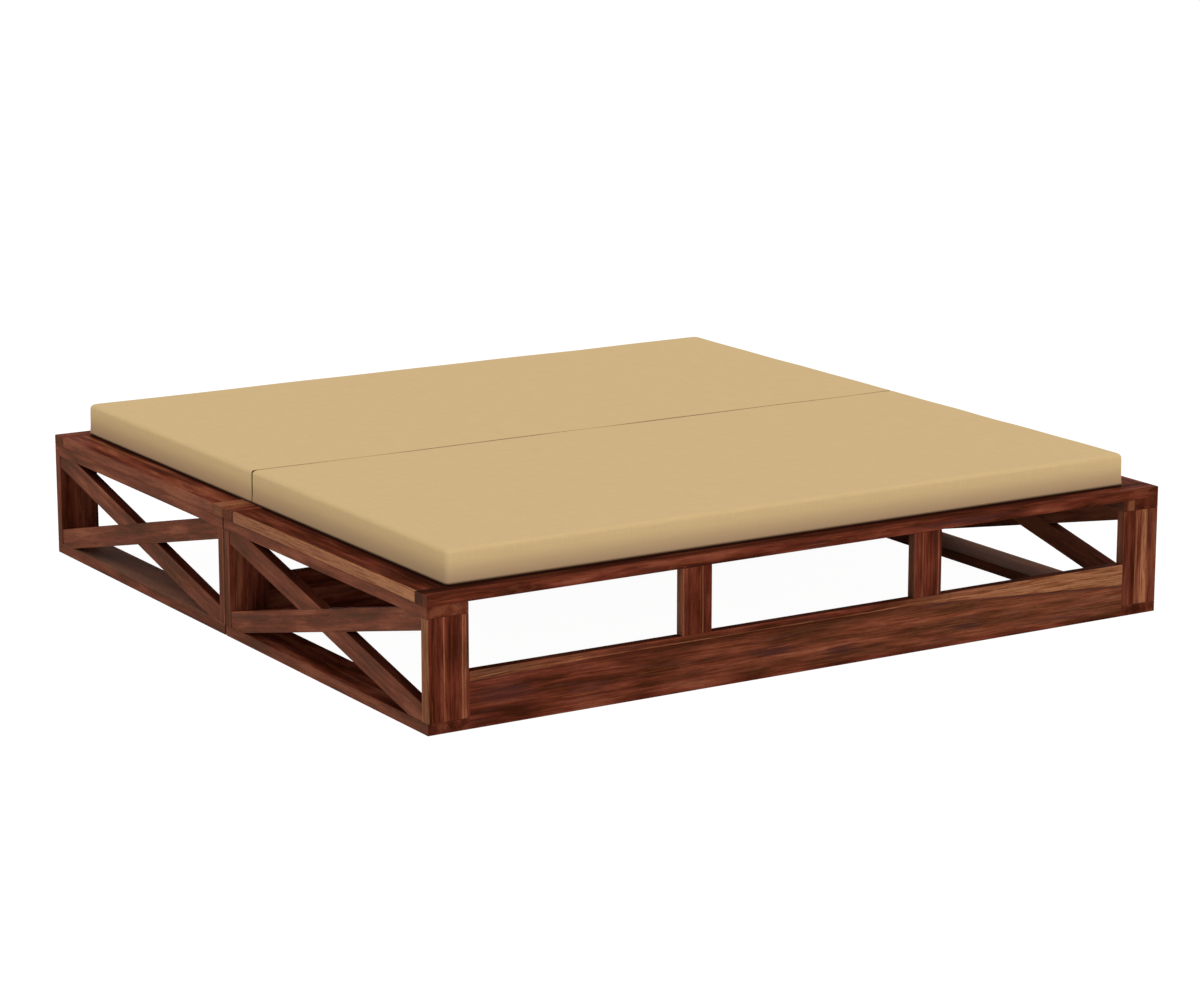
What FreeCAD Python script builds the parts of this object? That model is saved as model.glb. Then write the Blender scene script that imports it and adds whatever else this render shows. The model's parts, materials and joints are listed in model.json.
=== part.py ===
"""Divan bed: two low wooden modules side by side, each with a loose mattress.

The frame is solid board, one inch thick, glued, dowelled and screwed. Each module has a box of
planks at its left and right end, braced by a half-lapped cross, a panel of rail and posts along
its front, and a slatted deck on top. The back is open under an apron.

Axes: +X to the right along the bed, +Y from the front to the back, +Z up. The origin is on the
floor, under the middle of the whole bed. Millimetres.
"""

import FreeCAD
import Part
import os
import re

SIZES = {
    # the whole bed
    "BedLength": 1981.0,
    "BedWidth": 1930.0,
    "ModuleGap": 6.0,
    "EdgeEase": 1.5,
    # end boxes: two planks lying flat, two posts standing between them
    "EndPlankWidth": 101.6,
    "EndPlankThickness": 25.4,
    "PostHeight": 228.6,
    "PostThickness": 25.4,
    # crossed braces in each end box
    "BraceWidth": 50.8,
    "BraceThickness": 25.4,
    "BraceSetBack": 2.5,
    "BraceHeadDrop": 4.0,
    "BraceFootRise": 11.0,
    # panel along the front of each module
    "BottomRailHeight": 127.0,
    "BottomRailThickness": 25.4,
    "MidPostWidth": 76.2,
    "MidPostThickness": 25.4,
    "MidPostSpacing": 628.0,
    # apron along the back of each module
    "ApronHeight": 76.2,
    "ApronThickness": 25.4,
    # deck
    "DeckThickness": 25.4,
    "LongRailWidth": 50.8,
    "EndRailWidth": 88.9,
    "SlatWidth": 76.2,
    "SlatThickness": 19.0,
    "SlatCount": 12,
    # dowels and screws
    "DowelRadius": 4.0,
    "DowelBite": 20.0,
    "DeckDowelBite": 15.0,
    "ScrewRadius": 2.0,
    "ScrewHeadRadius": 4.0,
    "ScrewHeadHeight": 3.0,
    "CornerScrewBite": 35.0,
    "DeckScrewBite": 18.0,
    # mattresses
    "MattressHeight": 76.0,
    "MattressEndInset": 76.0,
    "MattressSideInset": 48.0,
    "MattressEdgeRadius": 15.0,
    "MattressClearance": 0.3,
    "CoverThickness": 1.5,
}

# Places that several pieces share, written in the sizes above.
DEPTH = "((BedWidth - ModuleGap) / 2)"
INNER_LENGTH = "(BedLength - 2 * EndPlankWidth)"
POST_BOTTOM = "EndPlankThickness"
POST_TOP = "(EndPlankThickness + PostHeight)"
DECK_BOTTOM = "(2 * EndPlankThickness + PostHeight)"
DECK_TOP = f"({DECK_BOTTOM} + DeckThickness)"
OPENING_WIDTH = f"({DEPTH} - 2 * PostThickness)"
SLAT_LENGTH = f"({DEPTH} - 2 * LongRailWidth)"
SLAT_PITCH = "((BedLength - 2 * EndRailWidth) / SlatCount)"

# The way each module lies: its name and the place of its front face along Y.
MODULES = {"front_bed": "(-BedWidth / 2)", "rear_bed": "(ModuleGap / 2)"}

ALONG_X = FreeCAD.Rotation(FreeCAD.Vector(0, 1, 0), 90)
ALONG_Y = FreeCAD.Rotation(FreeCAD.Vector(1, 0, 0), -90)
ALONG_Z = FreeCAD.Rotation()
UPSIDE_DOWN = FreeCAD.Rotation(FreeCAD.Vector(1, 0, 0), 180)

doc = FreeCAD.newDocument("DivanBed")
pieces = []


def fill_sheet():
    """Puts every driving size into the sheet, with its name beside it."""
    sheet = doc.addObject("Spreadsheet::Sheet", "Sizes")
    for row, (name, value) in enumerate(SIZES.items(), start=1):
        sheet.set(f"A{row}", name)
        sheet.set(f"B{row}", str(value))
        sheet.setAlias(f"B{row}", name)
    doc.recompute()


def bind(thing, target, formula):
    """Ties a property to a formula written in the sizes' own names."""
    thing.setExpression(target, re.sub(r"\b([A-Z][A-Za-z]+)\b", r"Sizes.\1", formula))


def bind_place(thing, corner):
    for axis, formula in zip("xyz", corner):
        bind(thing, f"Placement.Base.{axis}", formula)


def keep(thing, name):
    """Marks a finished shape as a piece of the bed, under the name of its file."""
    thing.Label = name
    pieces.append(thing)
    return thing


def board(name, size, corner, ease="EdgeEase", shift=("0", "0", "0")):
    """A block with every edge rounded; corner is where its own origin stands."""
    body = doc.addObject("PartDesign::Body", f"{name}_board")
    block = body.newObject("PartDesign::AdditiveBox", f"{name}_block")
    for side, formula in zip(("Length", "Width", "Height"), size):
        bind(block, side, formula)
    bind_place(block, shift)
    doc.recompute()
    if ease:
        rounding = body.newObject("PartDesign::Fillet", f"{name}_rounding")
        rounding.Base = (block, [""])
        rounding.UseAllEdges = True
        bind(rounding, "Radius", ease)
        body.Tip = rounding
    bind_place(body, corner)
    return body


def gather(name, members):
    """One object that holds several separate solids."""
    group = doc.addObject("Part::Compound", name)
    group.Links = members
    return group


def drilled(name, base, *fixings):
    """A piece with the holes of the dowels and screws that go into it."""
    for number, fixing in enumerate(fixings):
        cut = doc.addObject("Part::Cut", f"{name}_drilled_{number}")
        cut.Base = base
        cut.Tool = fixing
        base = cut
    return keep(base, name)


def dowel(name, turn, start, length):
    """A round pin from its start point along the turned axis."""
    pin = doc.addObject("Part::Cylinder", name)
    pin.Placement = FreeCAD.Placement(FreeCAD.Vector(), turn)
    bind(pin, "Radius", "DowelRadius")
    bind(pin, "Height", length)
    bind_place(pin, start)
    return pin


def screw(name, turn, head, bite):
    """A countersunk screw: its head is flush at the head point and its tip bites past the plank."""
    cone = doc.addObject("Part::Cone", f"{name}_head")
    cone.Placement = FreeCAD.Placement(FreeCAD.Vector(), turn)
    bind(cone, "Radius1", "ScrewHeadRadius")
    bind(cone, "Radius2", "ScrewRadius")
    bind(cone, "Height", "ScrewHeadHeight")
    bind_place(cone, head)
    shank = doc.addObject("Part::Cylinder", f"{name}_shank")
    shank.Placement = FreeCAD.Placement(FreeCAD.Vector(), turn)
    bind(shank, "Radius", "ScrewRadius")
    bind(shank, "Height", f"EndPlankThickness + {bite}")
    bind_place(shank, head)
    whole = doc.addObject("Part::Fuse", name)
    whole.Base = cone
    whole.Tool = shank
    return whole


def end_places():
    """The name, plank corner and box centre of the left and right end of a module along X."""
    return {
        "left": ("(-BedLength / 2)", "(-BedLength / 2 + EndPlankWidth / 2)"),
        "right": ("(BedLength / 2 - EndPlankWidth)", "(BedLength / 2 - EndPlankWidth / 2)"),
    }


def corner_screws(module, front):
    """Two screws through each plank into each post, heads on the plank's outer face."""
    made = []
    rows = {"front": f"{front} + PostThickness / 2", "back": f"{front} + {DEPTH} - PostThickness / 2"}
    levels = {"low": (ALONG_Z, "0"), "high": (UPSIDE_DOWN, DECK_BOTTOM)}
    for end, (_, centre) in end_places().items():
        for row, across in rows.items():
            for level, (turn, height) in levels.items():
                for side in (-1, 1):
                    name = f"{module}_{end}_{row}_{level}_screw_{side + 1}"
                    along = f"{centre} + {side} * EndPlankWidth / 4"
                    made.append(screw(name, turn, (along, across, height), "CornerScrewBite"))
    return keep(gather(f"{module}_corner_screw_set", made), f"{module}_corner_screws")


def deck_screws(module, front):
    """Screws up through each top plank: two into the end rail and one into each long rail."""
    made = []
    beside_post = "(PostThickness + LongRailWidth) / 2"
    rows = (
        f"{front} + {beside_post}",
        f"{front} + {DEPTH} / 3",
        f"{front} + 2 * {DEPTH} / 3",
        f"{front} + {DEPTH} - {beside_post}",
    )
    ends = {"left": "(EndRailWidth - BedLength) / 2", "right": "(BedLength - EndRailWidth) / 2"}
    for end, along in ends.items():
        for number, across in enumerate(rows):
            name = f"{module}_{end}_deck_screw_{number}"
            made.append(screw(name, ALONG_Z, (along, across, POST_TOP), "DeckScrewBite"))
    return keep(gather(f"{module}_deck_screw_set", made), f"{module}_deck_screws")


def joint_dowels(module, front):
    """Dowels of the front panel, the apron and the deck's corners."""
    made = []
    rail_end = f"{INNER_LENGTH} / 2"
    crossings = {
        "rail": (f"{front} + BottomRailThickness / 2", "0", "BottomRailHeight"),
        "apron": (f"{front} + {DEPTH} - ApronThickness / 2", f"{DECK_BOTTOM} - ApronHeight", "ApronHeight"),
    }
    for which, (across, low, height) in crossings.items():
        for side in (-1, 1):
            for share in (1, 3):
                start = (f"{side} * {rail_end} - DowelBite", across, f"{low} + {share} * {height} / 4")
                made.append(dowel(f"{module}_{which}_dowel_{side + 1}_{share}", ALONG_X, start, "2 * DowelBite"))
    middle = f"{front} + MidPostThickness / 2"
    feet = {
        "low": ("BottomRailHeight - DowelBite", "2 * DowelBite"),
        "high": (f"{DECK_BOTTOM} - DowelBite", "DowelBite + DeckDowelBite"),
    }
    for side in (-1, 1):
        for pair in (-1, 1):
            along = f"{side} * MidPostSpacing / 2 + {pair} * MidPostWidth / 4"
            for level, (height, length) in feet.items():
                name = f"{module}_post_{level}_dowel_{side + 1}_{pair + 1}"
                made.append(dowel(name, ALONG_Z, (along, middle, height), length))
    corners = (f"{front} + LongRailWidth", f"{front} + {DEPTH} - LongRailWidth")
    for side in (-1, 1):
        for pair in (-1, 1):
            along = f"{side} * (BedLength - EndRailWidth) / 2 + {pair} * EndRailWidth / 4"
            for number, across in enumerate(corners):
                start = (along, f"{across} - DowelBite", f"{DECK_BOTTOM} + DeckThickness / 2")
                name = f"{module}_deck_dowel_{side + 1}_{pair + 1}_{number}"
                made.append(dowel(name, ALONG_Y, start, "2 * DowelBite"))
    return keep(gather(f"{module}_joint_dowel_set", made), f"{module}_joint_dowels")


def slat_dowels(module, front):
    """One dowel in each end of each slat."""
    made = []
    ends = (f"{front} + LongRailWidth", f"{front} + {DEPTH} - LongRailWidth")
    for number in range(SIZES["SlatCount"]):
        along = f"({number} + 0.5 - SlatCount / 2) * {SLAT_PITCH}"
        for end, across in enumerate(ends):
            start = (along, f"{across} - DowelBite", f"{DECK_TOP} - SlatThickness / 2")
            made.append(dowel(f"{module}_slat_dowel_{number}_{end}", ALONG_Y, start, "2 * DowelBite"))
    return keep(gather(f"{module}_slat_dowel_set", made), f"{module}_slat_dowels")


def end_box(module, front, end, corner, fixings):
    """Bottom plank, top plank, front post and back post of one end."""
    screws, deck_set, dowels = fixings
    flat = ("EndPlankWidth", DEPTH, "EndPlankThickness")
    upright = ("EndPlankWidth", "PostThickness", "PostHeight")
    name = f"{module}_{end}"
    low = board(f"{name}_low", flat, (corner, front, "0"))
    drilled(f"{name}_bottom_plank", low, screws, dowels)
    high = board(f"{name}_high", flat, (corner, front, POST_TOP))
    drilled(f"{name}_top_plank", high, screws, deck_set, dowels)
    near = board(f"{name}_near", upright, (corner, front, POST_BOTTOM))
    drilled(f"{name}_front_post", near, screws, dowels)
    far = board(f"{name}_far", upright, (corner, f"{front} + {DEPTH} - PostThickness", POST_BOTTOM))
    drilled(f"{name}_back_post", far, screws, dowels)


def brace_bar(name, face, thickness, middle, slope, ease):
    """A straight bar through the middle of an end's opening, longer than the opening."""
    length = f"({OPENING_WIDTH} + PostHeight)"
    shift = ("0", f"-{length} / 2", "-BraceWidth / 2")
    bar = board(name, (thickness, length, "BraceWidth"), (face, *middle), ease, shift)
    bar.Placement = FreeCAD.Placement(bar.Placement.Base, FreeCAD.Rotation(FreeCAD.Vector(1, 0, 0), 0))
    rise = "(PostHeight - BraceHeadDrop - BraceFootRise)"
    bind(bar, "Placement.Rotation.Angle", f"{slope} * atan({rise} / {OPENING_WIDTH})")
    return bar


def crossed_braces(module, front, end):
    """Two bars halved into each other; the one that falls to the back shows unbroken outside."""
    half = "BraceThickness / 2"
    if end == "left":
        outer = "(-BedLength / 2 + BraceSetBack)"
        outer_half, inner_half = outer, f"({outer} + {half})"
    else:
        outer = "(BedLength / 2 - BraceSetBack - BraceThickness)"
        outer_half, inner_half = f"({outer} + {half})", outer
    middle_height = "(EndPlankThickness + (PostHeight + BraceFootRise - BraceHeadDrop) / 2)"
    middle = (f"{front} + {DEPTH} / 2", middle_height)
    opening = doc.addObject("Part::Box", f"{module}_{end}_opening")
    bind(opening, "Length", "BraceThickness")
    bind(opening, "Width", OPENING_WIDTH)
    bind(opening, "Height", "PostHeight")
    bind_place(opening, (outer, f"{front} + PostThickness", POST_BOTTOM))
    kinds = {"falling": (-1, 1, inner_half), "rising": (1, -1, outer_half)}
    for kind, (slope, other_slope, notch_face) in kinds.items():
        name = f"{module}_{end}_{kind}"
        bar = brace_bar(f"{name}_bar", outer, "BraceThickness", middle, slope, "EdgeEase")
        notch = brace_bar(f"{name}_notch", notch_face, half, middle, other_slope, None)
        halved = doc.addObject("Part::Cut", f"{name}_halved")
        halved.Base = bar
        halved.Tool = notch
        fitted = doc.addObject("Part::Common", f"{name}_fitted")
        fitted.Base = halved
        fitted.Tool = opening
        keep(fitted, f"{name}_brace")


def front_panel(module, front, dowels):
    """Bottom rail on the floor and two posts that stand on it under the deck."""
    rail_size = (INNER_LENGTH, "BottomRailThickness", "BottomRailHeight")
    rail = board(f"{module}_low_rail", rail_size, (f"-{INNER_LENGTH} / 2", front, "0"))
    drilled(f"{module}_bottom_rail", rail, dowels)
    post_size = ("MidPostWidth", "MidPostThickness", f"{DECK_BOTTOM} - BottomRailHeight")
    for side, sign in (("left", -1), ("right", 1)):
        corner = (f"{sign} * MidPostSpacing / 2 - MidPostWidth / 2", front, "BottomRailHeight")
        post = board(f"{module}_{side}_middle", post_size, corner)
        drilled(f"{module}_{side}_mid_post", post, dowels)


def back_apron(module, front, dowels):
    """Board on edge under the back of the deck, between the end boxes."""
    size = (INNER_LENGTH, "ApronThickness", "ApronHeight")
    corner = (f"-{INNER_LENGTH} / 2", f"{front} + {DEPTH} - ApronThickness", f"{DECK_BOTTOM} - ApronHeight")
    apron = board(f"{module}_apron", size, corner)
    drilled(f"{module}_back_apron", apron, dowels)


def deck(module, front, fixings):
    """Two long rails, two end rails between them, and slats between the long rails."""
    screws, dowels, slat_pins = fixings
    long_size = ("BedLength", "LongRailWidth", "DeckThickness")
    long_places = {"front": front, "back": f"{front} + {DEPTH} - LongRailWidth"}
    for side, across in long_places.items():
        rail = board(f"{module}_{side}_long", long_size, ("-BedLength / 2", across, DECK_BOTTOM))
        drilled(f"{module}_deck_{side}_rail", rail, screws, dowels, slat_pins)
    end_size = ("EndRailWidth", SLAT_LENGTH, "DeckThickness")
    end_corners = {"left": "-BedLength / 2", "right": "BedLength / 2 - EndRailWidth"}
    for side, along in end_corners.items():
        rail = board(f"{module}_{side}_short", end_size, (along, f"{front} + LongRailWidth", DECK_BOTTOM))
        drilled(f"{module}_deck_{side}_rail", rail, screws, dowels)
    slat_size = ("SlatWidth", SLAT_LENGTH, "SlatThickness")
    slats = []
    for number in range(SIZES["SlatCount"]):
        along = f"({number} + 0.5 - SlatCount / 2) * {SLAT_PITCH} - SlatWidth / 2"
        corner = (along, f"{front} + LongRailWidth", f"{DECK_TOP} - SlatThickness")
        slats.append(board(f"{module}_slat_{number}", slat_size, corner))
    drilled(f"{module}_deck_slats", gather(f"{module}_slat_set", slats), slat_pins)


def mattress(module, front):
    """Foam block in a sewn cover; it lies on the deck, flush where the two mattresses meet."""
    start = f"{front} + MattressSideInset" if module == "front_bed" else front
    length = "(BedLength - 2 * MattressEndInset)"
    width = f"({DEPTH} - MattressSideInset)"
    bottom = f"{DECK_TOP} + MattressClearance"
    outside = board(
        f"{module}_mattress",
        (length, width, "MattressHeight"),
        (f"-{length} / 2", start, bottom),
        "MattressEdgeRadius",
    )
    foam = board(
        f"{module}_foam",
        (f"{length} - 2 * CoverThickness", f"{width} - 2 * CoverThickness", "MattressHeight - 2 * CoverThickness"),
        (f"-{length} / 2 + CoverThickness", f"{start} + CoverThickness", f"{bottom} + CoverThickness"),
        "MattressEdgeRadius - CoverThickness",
    )
    cover = doc.addObject("Part::Cut", f"{module}_sewn_cover")
    cover.Base = outside
    cover.Tool = foam
    keep(cover, f"{module}_mattress_cover")
    keep(foam, f"{module}_mattress_core")


def build_module(module, front):
    """Every piece of one module, from the floor up."""
    corner_set = corner_screws(module, front)
    deck_set = deck_screws(module, front)
    dowels = joint_dowels(module, front)
    slat_pins = slat_dowels(module, front)
    for end, (corner, _) in end_places().items():
        end_box(module, front, end, corner, (corner_set, deck_set, dowels))
        crossed_braces(module, front, end)
    front_panel(module, front, dowels)
    back_apron(module, front, dowels)
    deck(module, front, (deck_set, dowels, slat_pins))
    mattress(module, front)


def check_and_write():
    """Stops on any failed object or bad shape, then writes one file for each piece."""
    for thing in doc.Objects:
        if "Invalid" in thing.State or "Error" in thing.State:
            raise RuntimeError(f"{thing.Label} failed: {thing.State}")
    for piece in pieces:
        if piece.Shape.isNull() or not piece.Shape.isValid():
            raise RuntimeError(f"{piece.Label} has a bad shape")
    os.makedirs("parts", exist_ok=True)
    for piece in pieces:
        piece.Shape.exportStep(f"parts/{piece.Label}.step")
        solids = len(piece.Shape.Solids)
        print(f"{piece.Label}: {solids} solid(s), {piece.Shape.Volume / 1000:.1f} cm3")


fill_sheet()
for module_name, front_face in MODULES.items():
    build_module(module_name, front_face)
doc.recompute()
check_and_write()
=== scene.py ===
"""Looks of the divan bed: lacquered sheesham boards, pine slats and two cloth-covered mattresses."""

import json
import math

import bpy
import numpy as np
from bpy.props import FloatProperty, FloatVectorProperty, IntProperty, PointerProperty
from bpy.types import Operator, Panel, PropertyGroup
from mathutils import Euler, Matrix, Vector


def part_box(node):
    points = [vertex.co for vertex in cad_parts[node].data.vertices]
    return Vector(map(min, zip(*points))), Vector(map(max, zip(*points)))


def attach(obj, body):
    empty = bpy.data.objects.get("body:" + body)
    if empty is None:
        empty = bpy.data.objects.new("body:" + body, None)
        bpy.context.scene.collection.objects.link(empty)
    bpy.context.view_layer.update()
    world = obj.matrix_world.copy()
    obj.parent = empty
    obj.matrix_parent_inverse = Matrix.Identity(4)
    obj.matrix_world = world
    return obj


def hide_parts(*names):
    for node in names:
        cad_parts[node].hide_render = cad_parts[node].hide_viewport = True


bl_info = {
    "name": "Divan Bed",
    "version": (1, 0, 0),
    "blender": (4, 5, 0),
    "location": "View3D > Sidebar > Divan Bed",
    "description": "Finishes the boards, slats, fixings and mattresses of a low double divan",
    "category": "Object",
}

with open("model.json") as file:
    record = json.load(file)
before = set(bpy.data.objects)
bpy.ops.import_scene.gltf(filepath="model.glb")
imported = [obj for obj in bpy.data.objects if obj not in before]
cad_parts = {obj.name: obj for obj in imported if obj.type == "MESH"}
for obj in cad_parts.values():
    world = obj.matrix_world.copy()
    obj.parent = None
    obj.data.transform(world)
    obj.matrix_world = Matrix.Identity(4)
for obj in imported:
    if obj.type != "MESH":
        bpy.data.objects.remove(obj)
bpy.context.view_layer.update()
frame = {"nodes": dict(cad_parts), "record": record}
MM = 0.001
MODULES = ("front_bed", "rear_bed")


def hex_colour(code):
    """Linear colour of an sRGB hex value such as #5E2C1C."""
    channels = [int(code[start : start + 2], 16) / 255 for start in (1, 3, 5)]
    return tuple(c / 12.92 if c <= 0.04045 else ((c + 0.055) / 1.055) ** 2.4 for c in channels)


def colour_prop(name, description, code):
    """A colour that a user can change, given by its hex value."""
    return FloatVectorProperty(
        name=name, description=description, default=hex_colour(code), subtype="COLOR", min=0, max=1
    )


def length_prop(name, description, metres):
    """A length that a user can change."""
    return FloatProperty(name=name, description=description, default=metres, unit="LENGTH", precision=5)


def share_prop(name, description, share):
    """A share between 0 and 1 that a user can change."""
    return FloatProperty(name=name, description=description, default=share, subtype="FACTOR", min=0, max=1)


def angle_prop(name, description, degrees):
    """An angle that a user can change."""
    return FloatProperty(name=name, description=description, default=math.radians(degrees), unit="ROTATION")


def place_prop(name, description, metres):
    """A point in space that a user can change."""
    return FloatVectorProperty(
        name=name, description=description, default=metres, subtype="XYZ", unit="LENGTH"
    )


class SheeshamLook(PropertyGroup):
    """Colours and grain sizes of the sheesham boards."""

    shadow: colour_prop("Dark grain", "Darkest lines of the heartwood", "#3B180C")
    heart: colour_prop("Heartwood", "Main colour of the heartwood", "#5A2719")
    warm: colour_prop("Warm grain", "Redder and lighter parts of the heartwood", "#713626")
    light: colour_prop("Light grain", "Lightest lines of the heartwood", "#8B4F37")
    blotch: colour_prop("Blotch", "Purple-brown patches", "#462723")
    flame: colour_prop("Flame", "Orange streaks", "#93502C")
    pore: colour_prop("Pore", "Short dark pores", "#2C120B")
    # Painted sheen: a pale haze of reflected light, mixed into the colour of faces that look left and of
    # some upper faces.
    bleached: colour_prop("Bleached", "Faces that daylight from the left has paled", "#8F6B56")
    painted_sheen_share: share_prop("Bleach", "How far those faces have paled", 0.22)
    sap: colour_prop("Sapwood", "Tan outer wood at some edges", "#B57C56")
    sap_dark: colour_prop("Sapwood grain", "Brown lines in the sapwood", "#7C4729")
    streak_width: length_prop("Streak width", "Width of one streak of grain", 3 * MM)
    streak_length: length_prop("Streak length", "Length of one streak of grain", 100 * MM)
    ring_width: length_prop("Ring width", "Distance between growth rings", 9 * MM)
    blotch_width: length_prop("Blotch width", "Width of a dark patch", 30 * MM)
    blotch_length: length_prop("Blotch length", "Length of a dark patch", 210 * MM)
    pore_width: length_prop("Pore width", "Width of a pore, drawn wider than the real 0.3 mm", 1.1 * MM)
    pore_length: length_prop("Pore length", "Length of a pore along the grain", 16 * MM)
    brace_slope: angle_prop("Brace slope", "Slope of the crossed bars", 13.19)
    brace_rise: length_prop("Brace rise", "How far the bars' middle is above their opening's", 3.5 * MM)
    brace_width: length_prop("Brace width", "Width of a crossed bar", 50.8 * MM)
    # Painted highlight: a light line along the boards' edges, as light catches their rounding.
    edge_highlight: length_prop("Edge wear", "Width of the rubbed lacquer along a board's edges", 2.2 * MM)
    roughness: share_prop("Roughness", "Roughness of the satin lacquer", 0.42)
    specular: share_prop("Specular", "Strength of the lacquer's reflection", 0.002)


class ClothLook(PropertyGroup):
    """Colour, weave and shape of the mattress covers."""

    cloth: colour_prop("Cloth", "Colour of the woven cotton", "#D0B382")
    slub: colour_prop("Slub", "Colour of its thicker, darker threads", "#C3A377")
    thread: length_prop("Thread", "Distance between threads, drawn wider than the real 0.5 mm", 1.5 * MM)
    # Painted shade: the cloth darkens towards its base, where the deck shades it.
    base_shade_colour: colour_prop("Soiling", "Colour of the dusty cloth near the deck", "#B08F71")
    # Painted contact shadow: a dark line along the foot of each mattress and the lips of the gap between
    # them.
    contact_shadow: colour_prop("Contact line", "Grime at the deck and where the mattresses meet", "#351A0F")
    # How high the painted shade towards the base reaches, where it is full, and how strong it is there.
    base_shade_height: length_prop("Soiled height", "How high the dust reaches", 60 * MM)
    base_shade_full: length_prop("Soiled base", "Height up to which the dust is thickest", 5 * MM)
    base_shade_share: share_prop("Soiled share", "How much of the cloth's colour the thickest dust hides", 0.75)
    edge_radius: length_prop("Edge radius", "Rounding of the mattress's top edges", 10 * MM)
    corner_radius: length_prop("Corner radius", "Rounding of its upright corners", 11 * MM)
    seam_radius: length_prop("Meeting radius", "Rounding of the top edges that meet", 5 * MM)
    seam_corner: length_prop("Meeting corner", "Rounding of the upright corners there", 3.5 * MM)
    seam_gap: length_prop("Meeting gap", "Space left between the two mattresses", 3.5 * MM)
    base_height: length_prop("Base rounding height", "How high the bottom rounding reaches", 6 * MM)
    base_ends: length_prop("Base rounding, ends", "How far it reaches in, at the bed's ends", 3 * MM)
    base_sides: length_prop("Base rounding, sides", "How far it reaches in, at front and back", 0.8 * MM)
    belly: length_prop("Belly", "How far the sides stand out at half height", 1 * MM)
    crown: length_prop("Crown", "How far the top stands above the foam's box", 3 * MM)
    end_growth: length_prop("End growth", "How far the mattress stands out at each end", 5 * MM)
    off_centre: length_prop("Off centre", "How far the mattresses lie to the right", 3.5 * MM)
    # Height of the painted contact shadow along the foot of the cloth.
    contact_shadow_height: length_prop("Contact line height", "Height of the dark line on the deck", 3.8 * MM)
    spacing: length_prop("Spacing", "Mesh spacing of the cloth", 15 * MM)
    inset: length_prop("Inset", "How much smaller the cloth starts than the foam's box", 1 * MM)
    cap: length_prop("Cap", "The furthest that a point of the cloth may swell", 2 * MM)
    settled_height: length_prop("Settled height", "Height over which the swelling starts", 25 * MM)
    pressure: FloatProperty(name="Pressure", description="Push of the foam on the cloth", default=3.0)
    frames: IntProperty(name="Frames", description="Steps of the cloth simulation", default=18)


class StageLook(PropertyGroup):
    """Camera, lamp, floor and surroundings."""

    lens: FloatProperty(name="Lens", description="Focal length", default=107.04, unit="CAMERA")
    film: FloatProperty(name="Film", description="Width of the camera's film", default=36, unit="CAMERA")
    eye: place_prop("Eye", "Place of the camera", (-4.4757, -7.2694, 2.155))
    heading: angle_prop("Heading", "Turn of the camera from the depth axis", 31.812)
    pitch: angle_prop("Pitch", "Camera's angle below the horizon", 12.88)
    floor: colour_prop("Floor", "Pale floor", "#F1F0EE")
    floor_size: length_prop("Floor size", "Width of the floor", 80.0)
    glow: share_prop("Floor glow", "How much of the floor the eye sees as plain white", 0.88)
    white: FloatProperty(name="White", description="Strength of that plain white", default=1.1)
    sky: share_prop("Sky", "Strength of the even light from all around", 0.85)
    key: FloatProperty(name="Key", description="Strength of the soft light from the front", default=0.63)
    key_width: angle_prop("Key width", "Spread of the soft light", 50)
    key_place: place_prop("Key place", "Where the soft light shines from", (0, -3.2, 3.2))


def add(tree, kind, inputs=None, stops=None, **settings):
    """Adds a node to a tree with its settings, its input values or links, and its colour stops.

    Inputs go by name or number: a Mix node's colours are 6 and 7, and its vectors are 4 and 5. A ramp
    comes with two stops, which take the first two that are given: its lowest and its highest.
    """
    node = tree.nodes.new(kind)
    for name, value in settings.items():
        setattr(node, name, value)
    for socket, value in (inputs or {}).items():
        target = node.inputs[socket]
        if isinstance(value, bpy.types.NodeSocket):
            tree.links.new(value, target)
        elif target.type == "RGBA":
            target.default_value = (*value[:3], 1.0)
        else:
            target.default_value = value
    for number, (place, colour) in enumerate(stops or []):
        elements = node.color_ramp.elements
        element = elements[number] if number < 2 else elements.new(place)
        element.position = place
        element.color = (*colour, 1.0)
    return node


def new_material(name):
    """An empty node material with a principled surface, returned with its tree and shader."""
    material = bpy.data.materials.new(name)
    material.use_nodes = True
    tree = material.node_tree
    return material, tree, tree.nodes["Principled BSDF"]


def distance(tree, value, level):
    """How far a pattern's value is from a level."""
    away = add(tree, "ShaderNodeMath", {0: value, 1: level}, operation="SUBTRACT").outputs[0]
    return add(tree, "ShaderNodeMath", {0: away}, operation="ABSOLUTE").outputs[0]


def paint(tree, under, over, pattern, start, full, top=1.0):
    """Lays a second colour over the first, from nothing where the pattern is at start to top at full."""
    inputs = {"Value": pattern, "From Min": start, "From Max": full, "To Min": 0.0, "To Max": top}
    share = add(tree, "ShaderNodeMapRange", inputs, interpolation_type="SMOOTHSTEP").outputs["Result"]
    return add(tree, "ShaderNodeMix", {"Factor": share, 6: under, 7: over}, data_type="RGBA").outputs[2]


def surface(tree, shader, colour, gloss, roughness, relief, bump, spread=(0.3, 0.7)):
    """Gives a surface its colour, roughness and relief.

    The roughness goes from its first to its second value as the gloss pattern crosses its spread. The
    relief pattern is raised by the bump's strength and depth.
    """
    tree.links.new(colour, shader.inputs["Base Color"])
    inputs = {"Value": gloss, "From Min": spread[0], "From Max": spread[1]}
    inputs.update({"To Min": roughness[0], "To Max": roughness[1]})
    rough = add(tree, "ShaderNodeMapRange", inputs).outputs["Result"]
    tree.links.new(rough, shader.inputs["Roughness"])
    inputs = {"Height": relief, "Strength": bump[0], "Distance": bump[1]}
    normal = add(tree, "ShaderNodeBump", inputs).outputs["Normal"]
    tree.links.new(normal, shader.inputs["Normal"])


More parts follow.
